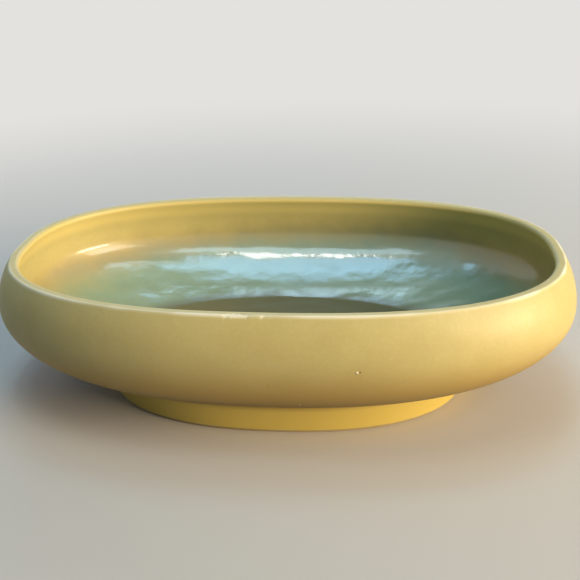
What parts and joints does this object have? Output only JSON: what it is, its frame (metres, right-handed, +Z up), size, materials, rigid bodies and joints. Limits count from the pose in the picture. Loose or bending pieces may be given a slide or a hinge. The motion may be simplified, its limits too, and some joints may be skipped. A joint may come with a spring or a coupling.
{
  "type": "oval flower bowl",
  "caption": "Low oval earthenware flower bowl with a full belly, a turned-in rim and a low oval foot, matte chartreuse outside and sea green within.",
  "frame": {"origin": "middle of the plane that the foot rests on", "axes": "+X along the bowl's length, +Y across its width, +Z up through the mouth"},
  "size_m": [0.305, 0.19, 0.076],
  "materials": {
    "clay": "unglazed buff earthenware",
    "outside_glaze": "matte chartreuse glaze",
    "inside_glaze": "semi-gloss sea green glaze"
  },
  "bodies": {
    "root": {"bowl_body": "clay", "foot_ring": "clay", "luting_slip": "clay", "outer_glaze": "outside_glaze", "liner_glaze": "inside_glaze", "base_glaze": "outside_glaze"}
  },
  "joints": []
}
